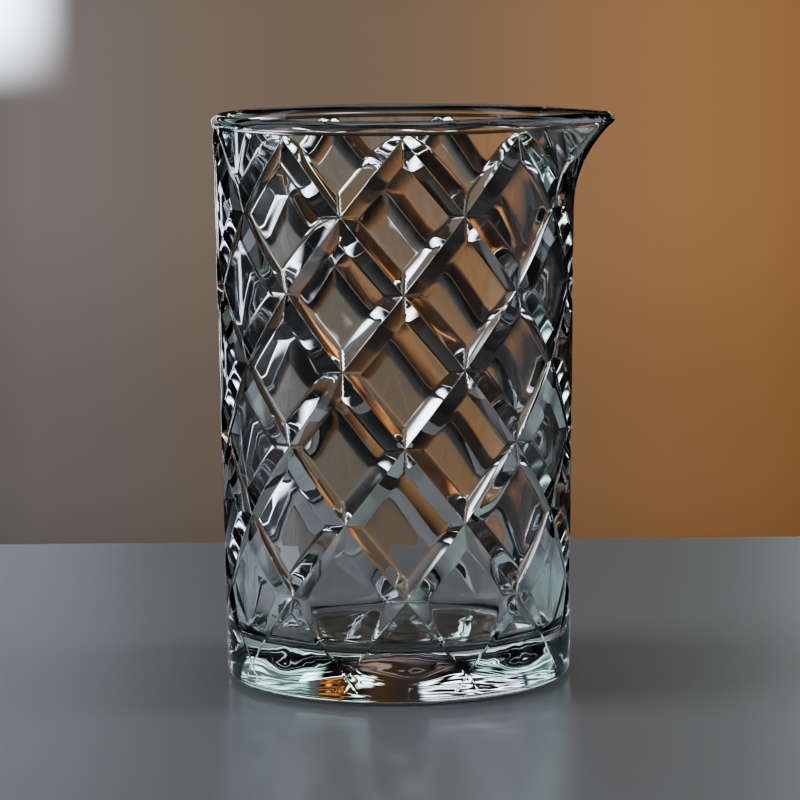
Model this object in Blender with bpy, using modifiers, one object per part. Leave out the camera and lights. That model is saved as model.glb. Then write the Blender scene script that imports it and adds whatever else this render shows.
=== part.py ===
"""A bar mixing glass, pressed in one piece of clear glass.

The tapered cup has a thick solid base, a wall cut with two crossing families of
helical V grooves, a plain rim band and a beak drawn out of the rim for pouring.
Units are metres and +Z is up.  The origin is the centre of the flat underside,
on the axis of the cup, and the beak points along +X.
"""
import math

import bmesh
import bpy

# Driving dimensions of the cup
HEIGHT = 0.145
RIM_RADIUS = 0.0463
FOOT_RADIUS = 0.0442
WALL = 0.0046
FLOOR_HEIGHT = 0.0120
FLOOR_FILLET = 0.0045
HEEL_RADIUS = 0.0022
LIP_RADIUS = WALL / 2

# The beak: two flanks tangent to the round wall, meeting in a rounded nose
BEAK_START = 0.118
BEAK_TOP = HEIGHT - LIP_RADIUS
BEAK_REACH = 0.0101
BEAK_CURVE = 2.5
BEAK_NOSE_ANGLE = math.radians(3.0)

# The lattice of grooves: rows of crossings, counted down from the rim
GROOVES = 9
CROSSING_TOP = 0.1406
CROSSING_PITCH = 0.0191
GROOVE_DEPTH = 0.0012
GROOVE_HALF_WIDTH = 0.0040
TOP_FADE = (0.1370, 0.1420)
BOTTOM_FADE = (0.0260, 0.0115)
BEAK_FADE = 0.0018
CUTTER_MARGIN = 0.0006
CUTTER_OVERRUN = 1.3

# Fineness of the facets
COLUMNS = 54
ARC_STEPS = 3
BEAK_STEPS = 7
STEPS_PER_PITCH = 12
PLAIN_STEP = 4
WELD = 0.00001
SHARP_ANGLE = math.radians(12.0)

GLASS_COLOUR = (0.90, 0.96, 0.95, 1.0)
GLASS_ROUGHNESS = 0.03
GLASS_IOR = 1.52


def cone_radius(z):
    """Outside radius of the plain tapered wall at a height."""
    return FOOT_RADIUS + (RIM_RADIUS - FOOT_RADIUS) * z / HEIGHT


def beak_radius(radius, azimuth, z):
    """A wall radius with the beak added: flanks tangent to the circle of that radius."""
    rise = min(1.0, max(0.0, (z - BEAK_START) / (BEAK_TOP - BEAK_START)))
    tip = radius + BEAK_REACH * rise ** BEAK_CURVE
    half_angle = math.acos(radius / tip) + BEAK_NOSE_ANGLE
    from_nose = math.hypot(azimuth, BEAK_NOSE_ANGLE)
    return radius / math.cos(max(0.0, half_angle - from_nose))


def arc(centre_r, centre_z, radius, start, end, steps):
    """Points of a profile arc, with angles in degrees from +R towards +Z."""
    points = []
    for i in range(steps + 1):
        angle = math.radians(start + (end - start) * i / steps)
        points.append((centre_r + radius * math.cos(angle), centre_z + radius * math.sin(angle)))
    return points


def cup_profile():
    """Half section from the middle of the floor, up the inside, over the lip and down to the base."""
    beak_rows = [BEAK_START + (BEAK_TOP - BEAK_START) * i / BEAK_STEPS for i in range(BEAK_STEPS)]
    fillet_r = cone_radius(FLOOR_HEIGHT) - WALL - FLOOR_FILLET
    heel_r = cone_radius(HEEL_RADIUS) - HEEL_RADIUS
    lip_r = cone_radius(BEAK_TOP) - LIP_RADIUS
    points = [(0.0, FLOOR_HEIGHT)]
    points += arc(fillet_r, FLOOR_HEIGHT + FLOOR_FILLET, FLOOR_FILLET, -90, 0, ARC_STEPS)
    points += [(cone_radius(z) - WALL, z) for z in beak_rows]
    points += arc(lip_r, BEAK_TOP, LIP_RADIUS, 180, 0, 2 * ARC_STEPS)
    points += [(cone_radius(z), z) for z in reversed(beak_rows)]
    points += arc(heel_r, HEEL_RADIUS, HEEL_RADIUS, 0, -90, ARC_STEPS)
    points.append((0.0, 0.0))
    return points


def turned_object(name, points):
    """An object whose profile is turned around Z by a Screw modifier."""
    mesh = bpy.data.meshes.new(name)
    mesh.from_pydata([(r, 0.0, z) for r, z in points], [(i, i + 1) for i in range(len(points) - 1)], [])
    turned = bpy.data.objects.new(name, mesh)
    bpy.context.scene.collection.objects.link(turned)
    screw = turned.modifiers.new("Turn", "SCREW")
    screw.steps = COLUMNS
    screw.render_steps = COLUMNS
    screw.use_merge_vertices = True
    screw.merge_threshold = WELD
    return turned


def as_mesh_object(source, collection):
    """Replace an object by a welded mesh object of its evaluated shape."""
    name = source.name
    depsgraph = bpy.context.evaluated_depsgraph_get()
    mesh = bpy.data.meshes.new_from_object(source.evaluated_get(depsgraph))
    shape = bmesh.new()
    shape.from_mesh(mesh)
    bmesh.ops.remove_doubles(shape, verts=shape.verts, dist=WELD)
    bmesh.ops.recalc_face_normals(shape, faces=shape.faces)
    shape.to_mesh(mesh)
    shape.free()
    solid = bpy.data.objects.new(name, mesh)
    solid.matrix_world = source.matrix_world
    collection.objects.link(solid)
    bpy.data.objects.remove(source)
    solid.name = name
    return solid


def pull_beak(cup):
    """Draw the rim out into the beak, moving both faces of the wall along their radius."""
    for vertex in cup.data.vertices:
        x, y, z = vertex.co
        radius = math.hypot(x, y)
        if z > BEAK_START and radius > 0.0:
            stretch = beak_radius(radius, math.atan2(y, x), z) / radius
            vertex.co.x = x * stretch
            vertex.co.y = y * stretch


def cut_progress(azimuth, z):
    """How far a groove has run out at a place: 0 or less at full depth, 1 where it leaves the wall."""
    top = (z - TOP_FADE[0]) / (TOP_FADE[1] - TOP_FADE[0])
    bottom = (BOTTOM_FADE[0] - z) / (BOTTOM_FADE[0] - BOTTOM_FADE[1])
    beak = (beak_radius(cone_radius(z), azimuth, z) - cone_radius(z)) / BEAK_FADE
    return max(top, bottom, beak)


def groove_depth(progress):
    """Depth of the valley, which rises evenly out of the wall where the groove runs out."""
    return GROOVE_DEPTH * (1.0 - max(0.0, progress))


def groove_path(start_azimuth, hand):
    """Points along the valley of one groove, which turns by half a diamond for each row of crossings.

    Both hands run anticlockwise, so that the cutter's outline faces outwards on both.
    """
    turn = hand * math.pi / GROOVES
    steps = int((CROSSING_TOP / CROSSING_PITCH + 1.0) * STEPS_PER_PITCH)
    points = []
    for i in range(-STEPS_PER_PITCH, steps):
        rows_down = i / STEPS_PER_PITCH
        z = CROSSING_TOP - rows_down * CROSSING_PITCH
        azimuth = math.remainder(start_azimuth + turn * rows_down, 2.0 * math.pi)
        progress = cut_progress(azimuth, z)
        if progress > CUTTER_OVERRUN or (progress <= 0.0 and i % PLAIN_STEP):
            continue
        radius = beak_radius(cone_radius(z), azimuth, z) - groove_depth(progress)
        points.append((radius * math.cos(azimuth), radius * math.sin(azimuth), z))
    return points if hand > 0 else points[::-1]


def cutter_outline():
    """Closed triangle that a cutter sweeps: its point is the valley, its base is outside the wall."""
    outline = bpy.data.curves.new("cutter_outline", "CURVE")
    outline.dimensions = "2D"
    spline = outline.splines.new("POLY")
    spline.points.add(2)
    height = GROOVE_DEPTH + CUTTER_MARGIN
    half_base = GROOVE_HALF_WIDTH * height / GROOVE_DEPTH
    for point, (across, out) in zip(spline.points, ((0.0, 0.0), (half_base, height), (-half_base, height))):
        point.co = (out, across, 0.0, 1.0)
    spline.use_cyclic_u = True
    outline_object = bpy.data.objects.new("cutter_outline", outline)
    bpy.context.scene.collection.objects.link(outline_object)
    return outline_object


def groove_cutter(name, path, outline, collection):
    """Solid that cuts one groove: the triangle swept along the groove's path."""
    curve = bpy.data.curves.new(name, "CURVE")
    curve.dimensions = "3D"
    curve.twist_mode = "Z_UP"
    curve.bevel_mode = "OBJECT"
    curve.bevel_object = outline
    curve.use_fill_caps = True
    spline = curve.splines.new("POLY")
    spline.points.add(len(path) - 1)
    for point, place in zip(spline.points, path):
        point.co = (*place, 1.0)
    swept = bpy.data.objects.new(name, curve)
    bpy.context.scene.collection.objects.link(swept)
    cutter = as_mesh_object(swept, collection)
    cutter.hide_render = True
    cutter.display_type = "WIRE"


def groove_cutters(collection):
    """Both families of grooves, which cross on the beak's azimuth."""
    outline = cutter_outline()
    for hand, family in ((1, "right"), (-1, "left")):
        for i in range(GROOVES):
            path = groove_path(2.0 * math.pi * i / GROOVES, hand)
            groove_cutter(f"groove_{family}_{i + 1}", path, outline, collection)
    bpy.data.objects.remove(outline)


def glass_material():
    """Clear soda-lime glass with a faint cool tint."""
    material = bpy.data.materials.new("clear_glass")
    material.use_nodes = True
    shader = material.node_tree.nodes["Principled BSDF"]
    shader.inputs["Base Color"].default_value = GLASS_COLOUR
    shader.inputs["Roughness"].default_value = GLASS_ROUGHNESS
    shader.inputs["Metallic"].default_value = 0.0
    shader.inputs["IOR"].default_value = GLASS_IOR
    shader.inputs["Transmission Weight"].default_value = 1.0
    return material


def glass_body(collection, cutters):
    """The whole glass: turned cup, beak and grooves."""
    cup = as_mesh_object(turned_object("glass_body", cup_profile()), collection)
    pull_beak(cup)
    groove_cutters(cutters)
    cut = cup.modifiers.new("Grooves", "BOOLEAN")
    cut.operation = "DIFFERENCE"
    cut.solver = "EXACT"
    cut.operand_type = "COLLECTION"
    cut.collection = cutters
    cup.data.materials.append(glass_material())
    cup.data.shade_smooth()
    cup.data.set_sharp_from_angle(angle=SHARP_ANGLE)
    return cup


def main():
    for existing in list(bpy.data.objects):
        bpy.data.objects.remove(existing)
    parts = bpy.data.collections.new("mixing_glass")
    cutters = bpy.data.collections.new("cutters")
    bpy.context.scene.collection.children.link(parts)
    bpy.context.scene.collection.children.link(cutters)
    glass_body(parts, cutters)


main()
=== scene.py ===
"""Looks of the bar mixing glass: its fine lattice surface, clear glass, stage, light and camera."""
import math

import bmesh
import bpy
from mathutils import Matrix, Vector


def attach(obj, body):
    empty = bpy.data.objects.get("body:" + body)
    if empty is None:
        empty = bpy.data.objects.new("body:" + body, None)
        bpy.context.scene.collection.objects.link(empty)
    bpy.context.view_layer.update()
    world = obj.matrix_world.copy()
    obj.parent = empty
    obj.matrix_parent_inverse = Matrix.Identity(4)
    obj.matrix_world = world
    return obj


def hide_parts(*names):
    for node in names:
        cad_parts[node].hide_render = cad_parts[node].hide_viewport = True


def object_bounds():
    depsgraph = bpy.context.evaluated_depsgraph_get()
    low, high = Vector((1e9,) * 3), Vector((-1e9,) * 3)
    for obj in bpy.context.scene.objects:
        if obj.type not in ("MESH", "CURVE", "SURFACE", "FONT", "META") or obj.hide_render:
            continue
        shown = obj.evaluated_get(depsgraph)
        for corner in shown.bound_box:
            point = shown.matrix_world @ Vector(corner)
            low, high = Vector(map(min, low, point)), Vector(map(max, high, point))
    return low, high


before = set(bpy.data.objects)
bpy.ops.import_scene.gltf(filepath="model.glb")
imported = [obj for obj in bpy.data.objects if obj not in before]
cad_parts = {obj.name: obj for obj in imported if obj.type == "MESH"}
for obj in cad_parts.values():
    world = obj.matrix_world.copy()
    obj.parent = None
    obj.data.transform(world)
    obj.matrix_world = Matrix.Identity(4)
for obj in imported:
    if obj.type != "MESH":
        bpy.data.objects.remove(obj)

cad_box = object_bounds()

# The cup, in metres; the bounds of model.glb give its height and how far its beak reaches
HEIGHT = cad_box[1][2]
RIM_RADIUS = 0.0463
FOOT_RADIUS = 0.0442
WALL = 0.0046
FLOOR_HEIGHT = 0.0120
FLOOR_FILLET = 0.0045
HEEL_RADIUS = 0.0022
FOOT_RING = 0.0035
FOOT_HOLLOW = 0.0011
LIP_RADIUS = 0.00238
LIP_TO_WALL = 0.0020
BEAD = 0.00028
CONE_TILT = math.degrees(math.atan2(RIM_RADIUS - FOOT_RADIUS, HEIGHT))

# The beak
BEAK_START = 0.118
BEAK_TOP = HEIGHT - WALL / 2
BEAK_REACH = cad_box[1][0] - RIM_RADIUS
BEAK_CURVE = 2.5
BEAK_NOSE_ANGLE = math.radians(3.0)

# The lattice: grooves of both hands, and rows of crossings counted down from the rim
GROOVES = 9
CROSSING_TOP = 0.1406
CROSSING_PITCH = 0.0191
DIAMOND_HEIGHT = 2 * CROSSING_PITCH
GROOVE_DEPTH = 0.0012
GROOVE_WIDTH = 0.16
FACET_BULGE = 0.00008
VALLEY_ROUNDING = 0.005
EDGE_ROUNDING = 0.018
RIDGE_ROUNDING = 0.03
TOP_FADE = (0.1372, 0.1416)
BOTTOM_FADE = (0.0260, 0.0125)
BEAK_FADE = 0.0018
SCALLOP = 0.00038
SCALLOP_HEIGHTS = (0.0030, 0.0195)
LEAST_FADE = 0.08
STEEPEST_RUN_OUT = 0.8
LATTICE_TOP = 0.1416
LATTICE_BOTTOM = 0.0030

# Waviness left by the mould, as heights in metres
WAVES = 0.00003
FOOT_WAVES = 0.0004
FOOT_WAVES_TOP = 0.0145
FOOT_WAVES_FULL = 0.0090
WAVES_PER_METRE = 75.0

GLASS_TINT = (0.97, 0.99, 0.985, 1.0)
GLASS_IOR = 1.52

# Fineness of the surface
FACET_LINES = (0.0, VALLEY_ROUNDING, 0.03, 0.06, 0.09, 0.12, GROOVE_WIDTH - EDGE_ROUNDING)
EDGE_LINES = (
    GROOVE_WIDTH - EDGE_ROUNDING / 3,
    GROOVE_WIDTH + EDGE_ROUNDING / 3,
    GROOVE_WIDTH + EDGE_ROUNDING,
)
PANE_LINES = 4
SHEET_MARGIN = 0.2
SETTLING_STEPS = 12
BEAK_CUTS = 2
BEAK_CUTS_FROM = BEAK_START + 0.004
BEAK_CUTS_WITHIN = math.radians(20)
ARC_STEPS = 9
BEAK_ROWS = 16
WALL_ROWS = 4
FLOOR_ROWS = 3
HOLLOW_ROWS = 12
NORMAL_STEP = 0.0001
LATTICE_STEP = 0.001
SAME_DISTANCE = 1e-6
TRIM_TOLERANCE = 1e-7
WELD = 2e-6
RING_TOLERANCE = 1e-5


def cone_radius(z):
    """Outside radius of the plain tapered wall at a height."""
    return FOOT_RADIUS + (RIM_RADIUS - FOOT_RADIUS) * z / HEIGHT


def beak_radius(radius, azimuth, z):
    """A wall radius with the beak added: flanks tangent to the circle of that radius."""
    rise = min(1.0, max(0.0, (z - BEAK_START) / (BEAK_TOP - BEAK_START)))
    tip = radius + BEAK_REACH * rise ** BEAK_CURVE
    half_angle = math.acos(min(1.0, radius / tip)) + BEAK_NOSE_ANGLE
    from_nose = math.hypot(azimuth, BEAK_NOSE_ANGLE)
    return radius / math.cos(max(0.0, half_angle - from_nose))


def polar(radius, azimuth, z):
    """Point at a radius, azimuth and height."""
    return Vector((radius * math.cos(azimuth), radius * math.sin(azimuth), z))


def place(across, down):
    """Azimuth and height of a lattice place, given in diamonds around and diamonds down."""
    azimuth = math.remainder(across * 2 * math.pi / GROOVES, 2 * math.pi)
    return azimuth, CROSSING_TOP - down * DIAMOND_HEIGHT


def groove_strength(azimuth, z, steepest=1.0):
    """Depth of the grooves as a share of the full depth: they run out at both ends and under the beak.

    The upper ends are rounded; from the run-out given as steepest they go on straight instead.
    """
    top = (z - TOP_FADE[0]) / (TOP_FADE[1] - TOP_FADE[0])
    beak = (beak_radius(cone_radius(z), azimuth, z) - cone_radius(z)) / BEAK_FADE
    run_out = min(1.0, max(0.0, top, beak))
    curved = min(run_out, steepest)
    rounded = math.sqrt(1.0 - curved ** 2)
    if run_out > curved:
        rounded -= (run_out - curved) * curved / rounded
    straight = (z - BOTTOM_FADE[1]) / (BOTTOM_FADE[0] - BOTTOM_FADE[1])
    return min(rounded, max(0.0, straight))


def from_valley(value):
    """Signed distance to the nearest valley of one hand, in diamonds."""
    return value - round(value)


def groove_cut(distance, strength):
    """Depth of one hand's groove: two slightly full facets, with its valley and its edges rounded."""
    across = abs(distance)
    if across < VALLEY_ROUNDING:
        across = (across ** 2 / VALLEY_ROUNDING + VALLEY_ROUNDING) / 2
    share = across / GROOVE_WIDTH
    depth = (GROOVE_DEPTH - 4 * FACET_BULGE * share) * (strength - share)
    rounding = GROOVE_DEPTH * EDGE_ROUNDING / GROOVE_WIDTH
    if depth <= -rounding:
        return 0.0
    if depth < rounding:
        return (depth + rounding) ** 2 / (4 * rounding)
    return depth


def relief(across, down, strength):
    """Depth of both hands' grooves together, with the ridge where they meet rounded."""
    rising = groove_cut(from_valley(across + down), strength)
    falling = groove_cut(from_valley(across - down), strength)
    shallow, deep = min(rising, falling), max(rising, falling)
    rounding = min(RIDGE_ROUNDING * GROOVE_DEPTH / GROOVE_WIDTH, 2 * shallow)
    overlap = rounding - (deep - shallow)
    if overlap <= 0.0 or rounding <= 0.0:
        return deep
    return deep + overlap ** 2 / (4 * rounding)


def scallop(azimuth, z):
    """Depth of the shallow hollows in which the grooves' lower ends meet."""
    low, high = SCALLOP_HEIGHTS
    if not low < z < high:
        return 0.0
    upright = math.sin(math.pi * (z - low) / (high - low)) ** 2
    return -SCALLOP * upright * math.cos(GROOVES * azimuth)


def wall_point(across, down):
    """Point of the outer wall, with its grooves and the beak, at a lattice place."""
    azimuth, z = place(across, down)
    depth = relief(across, down, groove_strength(azimuth, z)) + scallop(azimuth, z)
    return polar(beak_radius(cone_radius(z), azimuth, z) - depth, azimuth, z)


def wall_normal(across, down):
    """Outward normal of the outer wall at a lattice place."""
    step = LATTICE_STEP
    around = wall_point(across + step, down) - wall_point(across - step, down)
    downwards = wall_point(across, down + step) - wall_point(across, down - step)
    return downwards.cross(around).normalized()


def grid_lines(low, high):
    """Lines of one hand's grid: valleys, facets, rounded pane edges and panes, from low to high."""
    inner = EDGE_LINES[-1]
    half = list(FACET_LINES) + list(EDGE_LINES)
    half += [inner + (0.5 - inner) * i / PANE_LINES for i in range(1, PANE_LINES + 1)]
    unit = half + [1.0 - offset for offset in reversed(half[1:-1])]
    lines = []
    for k in range(math.floor(low) - 1, math.ceil(high) + 2):
        lines += [k + offset for offset in unit]
    return [line for line in lines if low - SHEET_MARGIN <= line <= high + SHEET_MARGIN]


def narrowed(value, strength):
    """Move a grid line with the groove's edge, which closes in on the valley where the groove runs out."""
    distance = from_valley(value)
    edge = GROOVE_WIDTH * max(strength, LEAST_FADE)
    if abs(distance) <= GROOVE_WIDTH:
        moved = abs(distance) * edge / GROOVE_WIDTH
    else:
        moved = edge + (abs(distance) - GROOVE_WIDTH) * (0.5 - edge) / (0.5 - GROOVE_WIDTH)
    return value + math.copysign(moved, distance) - distance


def settled(a, b):
    """Lattice place of a grid crossing, once both its lines have moved with their grooves' edges."""
    moved_a, moved_b = a, b
    for _ in range(SETTLING_STEPS):
        azimuth, z = place((moved_a + moved_b) / 2, (moved_a - moved_b) / 2)
        strength = groove_strength(azimuth, z, STEEPEST_RUN_OUT)
        moved_a = narrowed(a, strength)
        moved_b = narrowed(b, strength)
    return (moved_a + moved_b) / 2, (moved_a - moved_b) / 2


def lattice_sheet():
    """The lattice unrolled flat and trimmed to one turn: X is diamonds around, Y is diamonds down."""
    top = (CROSSING_TOP - LATTICE_TOP) / DIAMOND_HEIGHT
    bottom = (CROSSING_TOP - LATTICE_BOTTOM) / DIAMOND_HEIGHT
    half_turn = GROOVES / 2
    rising = grid_lines(-half_turn + top, half_turn + bottom)
    falling = grid_lines(-half_turn - bottom, half_turn - top)
    sheet = bmesh.new()
    corner = {}

    def vertex(i, j):
        if (i, j) not in corner:
            corner[i, j] = sheet.verts.new((*settled(rising[i], falling[j]), 0.0))
        return corner[i, j]

    for i in range(len(rising) - 1):
        for j in range(len(falling) - 1):
            across = (rising[i] + rising[i + 1] + falling[j] + falling[j + 1]) / 4
            down = (rising[i] + rising[i + 1] - falling[j] - falling[j + 1]) / 4
            beside = abs(across) > half_turn + SHEET_MARGIN
            if beside or not top - SHEET_MARGIN < down < bottom + SHEET_MARGIN:
                continue
            quad = [vertex(i, j), vertex(i + 1, j), vertex(i + 1, j + 1), vertex(i, j + 1)]
            to_a = from_valley((rising[i] + rising[i + 1]) / 2)
            to_b = from_valley((falling[j] + falling[j + 1]) / 2)
            if abs(abs(to_a) - abs(to_b)) > SAME_DISTANCE:
                sheet.faces.new(quad)
            elif to_a * to_b > 0:
                sheet.faces.new((quad[0], quad[1], quad[2]))
                sheet.faces.new((quad[0], quad[2], quad[3]))
            else:
                sheet.faces.new((quad[0], quad[1], quad[3]))
                sheet.faces.new((quad[1], quad[2], quad[3]))
    trims = (
        ((half_turn, 0, 0), (1, 0, 0)),
        ((-half_turn, 0, 0), (-1, 0, 0)),
        ((0, top, 0), (0, -1, 0)),
        ((0, bottom, 0), (0, 1, 0)),
    )
    for point, outward in trims:
        bmesh.ops.bisect_plane(
            sheet,
            geom=sheet.verts[:] + sheet.edges[:] + sheet.faces[:],
            dist=TRIM_TOLERANCE,
            plane_co=point,
            plane_no=outward,
            clear_outer=True,
        )
    return sheet


def refine_beak(sheet):
    """Divide the grid where the wall turns into the beak, so that its nose is round."""
    edges = set()
    for face in sheet.faces:
        azimuth, z = place(*face.calc_center_median()[:2])
        if z > BEAK_CUTS_FROM and abs(azimuth) < BEAK_CUTS_WITHIN:
            edges.update(face.edges)
    bmesh.ops.subdivide_edges(sheet, edges=list(edges), cuts=BEAK_CUTS, use_grid_fill=True)


def wrap_round(sheet, normal_layer):
    """Wrap the flat lattice round the cone, cut its grooves and keep the exact normal of each corner."""
    for vertex in sheet.verts:
        across, down, _ = vertex.co
        normal = wall_normal(across, down)
        for loop in vertex.link_loops:
            loop[normal_layer] = normal
        vertex.co = wall_point(across, down)


def profile_arc(centre_r, centre_z, radius, start, end, outward=1):
    """Points of a profile arc with their normals' angles, in degrees from +R towards +Z."""
    points = []
    for i in range(ARC_STEPS + 1):
        degrees = start + (end - start) * i / ARC_STEPS
        angle = math.radians(degrees)
        r = centre_r + radius * math.cos(angle)
        z = centre_z + radius * math.sin(angle)
        points.append((r, z, degrees if outward > 0 else degrees + 180))
    return points


def lip_and_inside():
    """Profile from the bead under the lip, over the lip, down the inside and to the middle of the floor."""
    lip_z = HEIGHT - LIP_RADIUS
    lip_r = cone_radius(lip_z) + BEAD - LIP_RADIUS
    bead_angle = -math.degrees(math.acos(1 - BEAD / LIP_RADIUS))
    points = profile_arc(lip_r, lip_z, LIP_RADIUS, bead_angle, 90)
    points += profile_arc(lip_r, lip_z, LIP_RADIUS, 90, 180 - CONE_TILT)[1:]
    top = lip_z - LIP_TO_WALL
    bottom = FLOOR_HEIGHT + FLOOR_FILLET
    for i in range(BEAK_ROWS):
        z = top + (BEAK_START - top) * i / BEAK_ROWS
        points.append((cone_radius(z) - WALL, z, 180 - CONE_TILT))
    for i in range(WALL_ROWS):
        z = BEAK_START + (bottom - BEAK_START) * i / WALL_ROWS
        points.append((cone_radius(z) - WALL, z, 180 - CONE_TILT))
    fillet_r = cone_radius(FLOOR_HEIGHT) - WALL - FLOOR_FILLET
    points += profile_arc(fillet_r, bottom, FLOOR_FILLET, 0, -90, outward=-1)
    for i in range(1, FLOOR_ROWS + 1):
        points.append((fillet_r * (1 - i / FLOOR_ROWS), FLOOR_HEIGHT, 90))
    return points


def heel_and_underside():
    """Profile from the plain band at the foot, round the heel and over the foot ring into the hollow."""
    heel_r = cone_radius(HEEL_RADIUS) - HEEL_RADIUS
    points = profile_arc(heel_r, HEEL_RADIUS, HEEL_RADIUS, 0, -90)
    hollow_r = heel_r - FOOT_RING
    points.append((hollow_r, 0.0, -90))
    for i in range(1, HOLLOW_ROWS + 1):
        share = i / HOLLOW_ROWS
        z = FOOT_HOLLOW * (1 - math.cos(math.pi * share)) / 2
        slope = -FOOT_HOLLOW * math.pi * math.sin(math.pi * share) / 2 / hollow_r
        points.append((hollow_r * (1 - share), z, -90 - math.degrees(math.atan(slope))))
    return points


def turned_point(radius, azimuth, z):
    """Point of the turned surfaces, with the beak."""
    return polar(beak_radius(radius, azimuth, z), azimuth, z)


def turned_normal(radius, azimuth, z, angle):
    """Outward normal of the turned surfaces, from the profile's own normal angle."""
    step_r = -NORMAL_STEP * math.sin(math.radians(angle))
    step_z = NORMAL_STEP * math.cos(math.radians(angle))
    ahead = turned_point(radius + step_r, azimuth, z + step_z)
    along = ahead - turned_point(radius - step_r, azimuth, z - step_z)
    turn = NORMAL_STEP / radius
    around = turned_point(radius, azimuth + turn, z) - turned_point(radius, azimuth - turn, z)
    return around.cross(along).normalized()


def turn_on(cup, ring, profile, normal_layer):
    """Carry an open ring of the cup's vertices along a profile that ends on the axis."""
    azimuths = [math.atan2(vertex.co.y, vertex.co.x) for vertex in ring]
    count = len(ring)
    normals = [turned_normal(profile[0][0], azimuth, profile[0][1], profile[0][2]) for azimuth in azimuths]
    for radius, z, angle in profile[:-1]:
        following = [cup.verts.new(turned_point(radius, azimuth, z)) for azimuth in azimuths]
        next_normals = [turned_normal(radius, azimuth, z, angle) for azimuth in azimuths]
        for i in range(count):
            j = (i + 1) % count
            face = cup.faces.new((ring[i], ring[j], following[j], following[i]))
            for loop, normal in zip(face.loops, (normals[i], normals[j], next_normals[j], next_normals[i])):
                loop[normal_layer] = normal
        ring, normals = following, next_normals
    middle = cup.verts.new((0.0, 0.0, profile[-1][1]))
    upright = Vector((0.0, 0.0, math.sin(math.radians(profile[-1][2]))))
    for i in range(count):
        j = (i + 1) % count
        face = cup.faces.new((ring[i], ring[j], middle))
        for loop, normal in zip(face.loops, (normals[i], normals[j], upright)):
            loop[normal_layer] = normal


def open_ring(cup, z):
    """Vertices of the open edge at a height, in order of azimuth."""
    ring = [v for v in cup.verts if v.is_boundary and abs(v.co.z - z) < RING_TOLERANCE]
    return sorted(ring, key=lambda v: math.atan2(v.co.y, v.co.x))


def glass_mesh():
    """The whole glass as one closed surface, with exact normals."""
    cup = lattice_sheet()
    refine_beak(cup)
    cup.verts.index_update()
    normal_layer = cup.loops.layers.float_vector.new("exact_normal")
    wrap_round(cup, normal_layer)
    bmesh.ops.remove_doubles(cup, verts=cup.verts, dist=WELD)
    top_ring = open_ring(cup, LATTICE_TOP)
    bottom_ring = open_ring(cup, LATTICE_BOTTOM)
    turn_on(cup, top_ring, lip_and_inside(), normal_layer)
    turn_on(cup, bottom_ring, heel_and_underside(), normal_layer)
    bmesh.ops.recalc_face_normals(cup, faces=cup.faces)
    mesh = bpy.data.meshes.new("mixing_glass")
    cup.to_mesh(mesh)
    cup.free()
    mesh.shade_smooth()
    exact = mesh.attributes["exact_normal"]
    mesh.normals_split_custom_set([corner.vector for corner in exact.data])
    mesh.attributes.remove(mesh.attributes["exact_normal"])
    return mesh


def glass_material():
    """Clear soda-lime glass: polished, faintly green where thick, with the mould's waves in its foot."""
    material = bpy.data.materials.new("clear_glass")
    material.use_nodes = True
    nodes, links = material.node_tree.nodes, material.node_tree.links
    shader = nodes["Principled BSDF"]
    shader.inputs["Base Color"].default_value = GLASS_TINT
    shader.inputs["Roughness"].default_value = 0.0
    shader.inputs["IOR"].default_value = GLASS_IOR
    shader.inputs["Transmission Weight"].default_value = 1.0
    where = nodes.new("ShaderNodeTexCoord")
    height = nodes.new("ShaderNodeSeparateXYZ")
    links.new(where.outputs["Object"], height.inputs["Vector"])
    foot = nodes.new("ShaderNodeMapRange")
    foot.interpolation_type = "SMOOTHSTEP"
    foot.inputs["From Min"].default_value = FOOT_WAVES_TOP
    foot.inputs["From Max"].default_value = FOOT_WAVES_FULL
    foot.inputs["To Min"].default_value = WAVES
    foot.inputs["To Max"].default_value = FOOT_WAVES
    links.new(height.outputs["Z"], foot.inputs["Value"])
    waves = nodes.new("ShaderNodeTexNoise")
    waves.inputs["Scale"].default_value = WAVES_PER_METRE
    waves.inputs["Detail"].default_value = 1.0
    links.new(where.outputs["Object"], waves.inputs["Vector"])
    bump = nodes.new("ShaderNodeBump")
    bump.inputs["Distance"].default_value = 1.0
    swell = nodes.new("ShaderNodeMath")
    swell.operation = "MULTIPLY"
    links.new(waves.outputs["Fac"], swell.inputs[0])
    links.new(foot.outputs["Result"], swell.inputs[1])
    links.new(swell.outputs["Value"], bump.inputs["Height"])
    links.new(bump.outputs["Normal"], shader.inputs["Normal"])
    return material


def glass_piece():
    """The visible glass, which stands for the CAD node."""
    glass = bpy.data.objects.new("mixing_glass", glass_mesh())
    bpy.context.scene.collection.objects.link(glass)
    glass.data.materials.append(glass_material())
    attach(glass, "root")
    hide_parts("glass_body")


# The view: the camera looks at the glass with the beak almost at its right
VIEW_AZIMUTH = math.radians(-82.7)
CAMERA_DISTANCE = 0.9493
CAMERA_HEIGHT = 0.1927
CAMERA_PITCH = math.radians(7.31)
CAMERA_YAW = math.radians(0.06)
CAMERA_ROLL = math.radians(-0.56)
CAMERA_LENS = 167.2

towards_camera = Vector((math.cos(VIEW_AZIMUTH), math.sin(VIEW_AZIMUTH), 0.0))
image_right = Vector((-math.sin(VIEW_AZIMUTH), math.cos(VIEW_AZIMUTH), 0.0))
UP = Vector((0.0, 0.0, 1.0))


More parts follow.
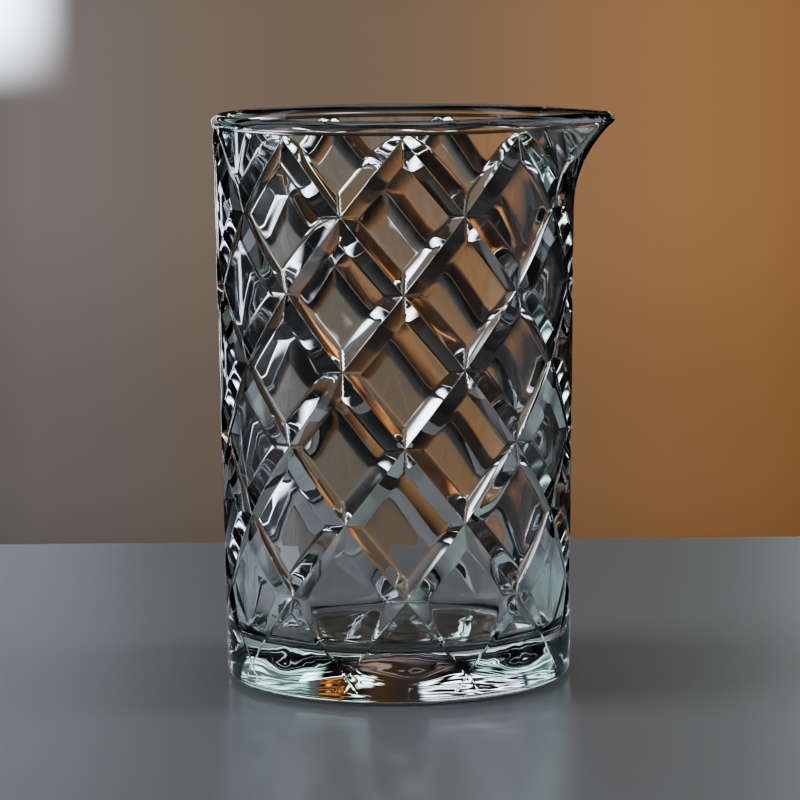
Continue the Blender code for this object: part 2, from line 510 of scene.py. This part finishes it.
def view_camera():
    """Camera at the height, distance and tilt of the photograph."""
    data = bpy.data.cameras.new("camera")
    data.lens = CAMERA_LENS
    data.clip_start = 0.01
    camera = bpy.data.objects.new("camera", data)
    turn = Matrix.Rotation(-CAMERA_YAW, 3, "Z")
    level_right = turn @ image_right
    level_forward = turn @ -towards_camera
    forward = level_forward * math.cos(CAMERA_PITCH) - UP * math.sin(CAMERA_PITCH)
    level_up = level_right.cross(forward)
    right = level_right * math.cos(CAMERA_ROLL) + level_up * math.sin(CAMERA_ROLL)
    up = right.cross(forward)
    axes = Matrix((right, up, -forward)).transposed().to_4x4()
    place_at = towards_camera * CAMERA_DISTANCE + UP * CAMERA_HEIGHT
    camera.matrix_world = Matrix.Translation(place_at) @ axes
    bpy.context.scene.collection.objects.link(camera)
    bpy.context.scene.camera = camera


# The studio, in degrees to the right of the view and above the horizon
BACKDROP = (
    (-180, (0.380, 0.380, 0.392)),
    (-100, (0.290, 0.293, 0.304)),
    (-60, (0.050, 0.052, 0.058)),
    (-25, (0.020, 0.020, 0.024)),
    (-10, (0.030, 0.029, 0.030)),
    (-6, (0.185, 0.172, 0.164)),
    (-1, (0.190, 0.148, 0.112)),
    (5, (0.310, 0.175, 0.088)),
    (7, (0.270, 0.140, 0.064)),
    (10, (0.025, 0.018, 0.014)),
    (60, (0.050, 0.050, 0.052)),
    (100, (0.290, 0.293, 0.304)),
    (180, (0.380, 0.380, 0.392)),
)
BACKDROP_HEIGHTS = (
    (-90, 0.05),
    (-25, 0.05),
    (-13, 0.30),
    (-8, 0.80),
    (-4, 1.00),
    (-1, 1.00),
    (1, 0.25),
    (90, 0.25),
)
COOL = (0.84, 0.89, 1.00)
MINT = (0.66, 0.95, 0.91)
ROSE = (1.00, 0.80, 0.78)
WARM = (1.00, 0.42, 0.14)
# Each light: its span across, its span in height, the softness of its edges, its colour and its strength
SOFTBOXES = (
    ((-9, -5.6), (-1.9, 1.0), 0.8, COOL, 3.0),
    ((-1.9, -0.9), (-6.0, -4.0), 0.5, COOL, 1.2),
    ((-34, -4.5), (1.8, 2.3), 0.8, COOL, 2.2),
    ((-34, -4.5), (5.0, 6.0), 0.9, COOL, 3.4),
    ((-34, -4.5), (9.0, 10.2), 0.9, COOL, 3.4),
    ((-24, -21), (-7, 1), 1.2, COOL, 2.4),
    ((-16, -13), (-8, 1), 1.2, COOL, 2.6),
    ((11, 20), (1, 8), 2.0, WARM, 0.06),
    ((12.5, 18.5), (2.0, 2.5), 0.5, WARM, 0.8),
    ((12.5, 18.5), (5.2, 5.6), 0.5, WARM, 0.7),
    ((12.5, 18.5), (8.3, 8.7), 0.4, WARM, 0.9),
    ((15.2, 16.2), (6.6, 7.6), 0.6, WARM, 1.6),
    ((7, 24), (10.8, 13), 0.8, MINT, 3.2),
    ((6.5, 10.5), (5.5, 9.0), 0.8, MINT, 2.6),
    ((19, 55), (3, 25), 2.0, MINT, 0.16),
    ((22, 55), (4.5, 5.5), 1.0, MINT, 1.3),
    ((22, 55), (8, 9.5), 1.0, MINT, 1.6),
    ((18, 55), (14, 16), 1.4, MINT, 1.8),
    ((18, 55), (20, 24), 1.8, MINT, 1.6),
    ((-55, -36), (3, 25), 2.0, MINT, 0.16),
    ((-55, -36), (4.5, 5.5), 1.0, MINT, 1.3),
    ((-55, -36), (9, 10.5), 1.0, MINT, 1.6),
    ((-55, -18), (14, 16), 1.4, MINT, 1.8),
    ((-55, -18), (20, 24), 1.8, MINT, 1.6),
    ((-12, 12), (18, 23), 2.0, ROSE, 0.25),
    ((-110, -75), (5, 50), 3.0, COOL, 1.5),
    ((75, 95), (5, 50), 3.0, COOL, 1.5),
)
# The overhead light: the height where it starts, the softness of its edge and its strength
TOP_LIGHT = (74, 3.0, 1.2)


def add_node(tree, kind, **settings):
    """A new node with some of its settings."""
    node = tree.nodes.new(kind)
    for name, value in settings.items():
        setattr(node, name, value)
    return node


def calculated(tree, operation, *inputs):
    """Output of a Math node on sockets and numbers."""
    node = add_node(tree, "ShaderNodeMath", operation=operation)
    for socket, value in zip(node.inputs, inputs):
        if isinstance(value, (int, float)):
            socket.default_value = value
        else:
            tree.links.new(value, socket)
    return node.outputs[0]


def towards(tree, axis):
    """How far the direction looked in points along an axis."""
    dot = add_node(tree, "ShaderNodeVectorMath", operation="DOT_PRODUCT")
    dot.inputs[1].default_value = axis
    tree.links.new(tree.nodes["Direction"].outputs["Generated"], dot.inputs[0])
    return dot.outputs["Value"]


def smooth_step(tree, value, low, high):
    """0 below low, 1 above high and smooth between; low may be the larger."""
    step = add_node(tree, "ShaderNodeMapRange", interpolation_type="SMOOTHSTEP")
    step.inputs["From Min"].default_value = low
    step.inputs["From Max"].default_value = high
    tree.links.new(value, step.inputs["Value"])
    return step.outputs["Result"]


def ramp(tree, value, low, high, stops):
    """Colour ramp over a range, with stops given in the value's own unit."""
    scaled = calculated(tree, "DIVIDE", calculated(tree, "SUBTRACT", value, low), high - low)
    node = add_node(tree, "ShaderNodeValToRGB")
    elements = node.color_ramp.elements
    node.color_ramp.interpolation = "EASE"
    while len(elements) < len(stops):
        elements.new(0.5)
    for element, (position, colour) in zip(elements, stops):
        element.position = (position - low) / (high - low)
        element.color = (*colour, 1.0)
    tree.links.new(scaled, node.inputs["Fac"])
    return node.outputs["Color"]


def tinted(tree, mask, colour, strength):
    """Colour of a light where its mask is 1."""
    node = add_node(tree, "ShaderNodeVectorMath", operation="SCALE")
    node.inputs[0].default_value = [channel * strength for channel in colour]
    tree.links.new(mask, node.inputs["Scale"])
    return node.outputs["Vector"]


def studio_world():
    """A warm dim backdrop with soft windows and strip lights, placed by direction."""
    world = bpy.data.worlds.new("studio")
    world.use_nodes = True
    tree = world.node_tree
    add_node(tree, "ShaderNodeTexCoord", name="Direction")
    azimuth = calculated(tree, "ARCTAN2", towards(tree, image_right), towards(tree, -towards_camera))
    azimuth = calculated(tree, "DEGREES", azimuth)
    height = calculated(tree, "DEGREES", calculated(tree, "ARCSINE", towards(tree, UP)))
    by_height = [(degrees, (share,) * 3) for degrees, share in BACKDROP_HEIGHTS]
    backdrop = add_node(tree, "ShaderNodeVectorMath", operation="MULTIPLY")
    tree.links.new(ramp(tree, azimuth, -180, 180, BACKDROP), backdrop.inputs[0])
    tree.links.new(ramp(tree, height, -90, 90, by_height), backdrop.inputs[1])
    total = backdrop.outputs["Vector"]
    lights = []
    for across, up, softness, colour, strength in SOFTBOXES:
        mask = 1.0
        for value, (low, high) in ((azimuth, across), (height, up)):
            half = abs(high - low) / 2
            offset = calculated(tree, "ABSOLUTE", calculated(tree, "SUBTRACT", value, (low + high) / 2))
            inside = smooth_step(tree, offset, half + softness, half - softness)
            mask = calculated(tree, "MULTIPLY", mask, inside)
        lights.append(tinted(tree, mask, colour, strength))
    top_height, top_softness, top_strength = TOP_LIGHT
    overhead = smooth_step(tree, height, top_height - top_softness, top_height + top_softness)
    lights.append(tinted(tree, overhead, COOL, top_strength))
    for light in lights:
        add = add_node(tree, "ShaderNodeVectorMath", operation="ADD")
        tree.links.new(total, add.inputs[0])
        tree.links.new(light, add.inputs[1])
        total = add.outputs["Vector"]
    tree.links.new(total, tree.nodes["Background"].inputs["Color"])
    bpy.context.scene.world = world


FLOOR_BEHIND = 0.206
FLOOR_FRONT = 2.0
FLOOR_SIDE = 2.0
FLOOR_DROP = 0.0001
FLOOR_COLOUR = (0.52, 0.51, 0.50, 1.0)
FLOOR_ROUGHNESS = 0.30
LIGHT_BOUNCES = 24


def stage_floor():
    """Plain pale floor that the glass stands on; it ends a little behind the glass."""
    mesh = bpy.data.meshes.new("floor")
    left, right, back, front = -FLOOR_SIDE, FLOOR_SIDE, -FLOOR_BEHIND, FLOOR_FRONT
    corners = ((left, front), (right, front), (right, back), (left, back))
    mesh.from_pydata([image_right * x + towards_camera * y for x, y in corners], [], [(0, 1, 2, 3)])
    floor = bpy.data.objects.new("floor", mesh)
    floor.location.z = -FLOOR_DROP
    bpy.context.scene.collection.objects.link(floor)
    material = bpy.data.materials.new("pale_floor")
    material.use_nodes = True
    shader = material.node_tree.nodes["Principled BSDF"]
    shader.inputs["Base Color"].default_value = FLOOR_COLOUR
    shader.inputs["Roughness"].default_value = FLOOR_ROUGHNESS
    floor.data.materials.append(material)


glass_piece()
view_camera()
studio_world()
stage_floor()
bpy.context.scene.view_settings.look = "AgX - High Contrast"
bpy.context.scene.cycles.max_bounces = LIGHT_BOUNCES
bpy.context.scene.cycles.transmission_bounces = LIGHT_BOUNCES
